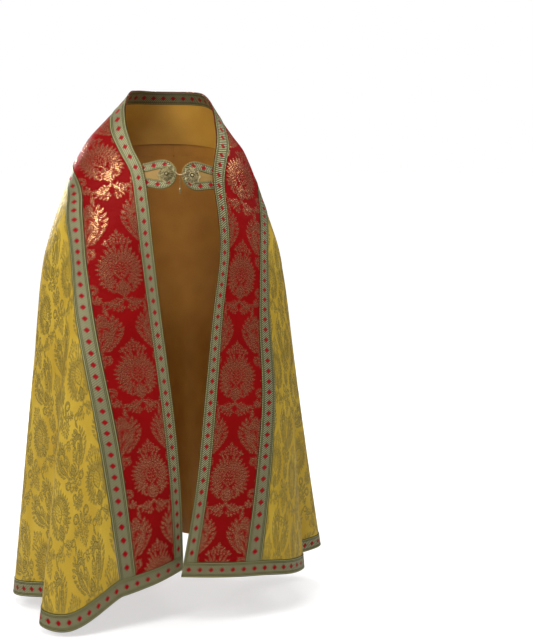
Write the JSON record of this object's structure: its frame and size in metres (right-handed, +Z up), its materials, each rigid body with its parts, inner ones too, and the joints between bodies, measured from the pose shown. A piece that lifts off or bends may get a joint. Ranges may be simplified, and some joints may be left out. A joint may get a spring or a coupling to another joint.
{
  "type": "cope vestment",
  "caption": "Semicircular church cope in its worn pose: gold body, red band and hood with braid and fringe, chest clasp; hollow, open at neck, hem and front.",
  "frame": {"origin": "on the neck's axis at the level of the neckline, where the wearer's shoulders carry the cope", "axes": "+Z up; the front opening faces -Y; +X is the wearer's left"},
  "size_m": [0.962, 0.6584, 1.5364],
  "materials": {
    "gold_brocade": "gold damask brocade with a soft metallic sheen",
    "red_brocade": "red damask brocade with gold thread motifs",
    "galloon": "woven grey-gold braid with red diamonds",
    "lining_satin": "orange-gold satin lining",
    "bullion": "twisted gold bullion fringe",
    "tab_cloth": "plain gold cloth on a stiffened tab",
    "antique_gold": "antique gilt openwork"
  },
  "bodies": {
    "root": {"body": "gold_brocade", "orphrey_right": "red_brocade", "orphrey_left": "red_brocade", "edge_galloon": "galloon", "seam_galloon": "galloon", "centre_galloon": "galloon", "hem_galloon": "galloon", "collar_facing": "galloon", "neck_lining": "lining_satin", "hood": "red_brocade", "hood_galloon": "galloon", "hood_fringe": "bullion", "clasp_tab_right": "tab_cloth", "clasp_tab_left": "tab_cloth", "clasp_galloon_right": "galloon", "clasp_galloon_left": "galloon", "brooch_right": "antique_gold", "brooch_left": "antique_gold", "clasp_hook": "antique_gold", "clasp_drop": "antique_gold"}
  },
  "joints": []
}
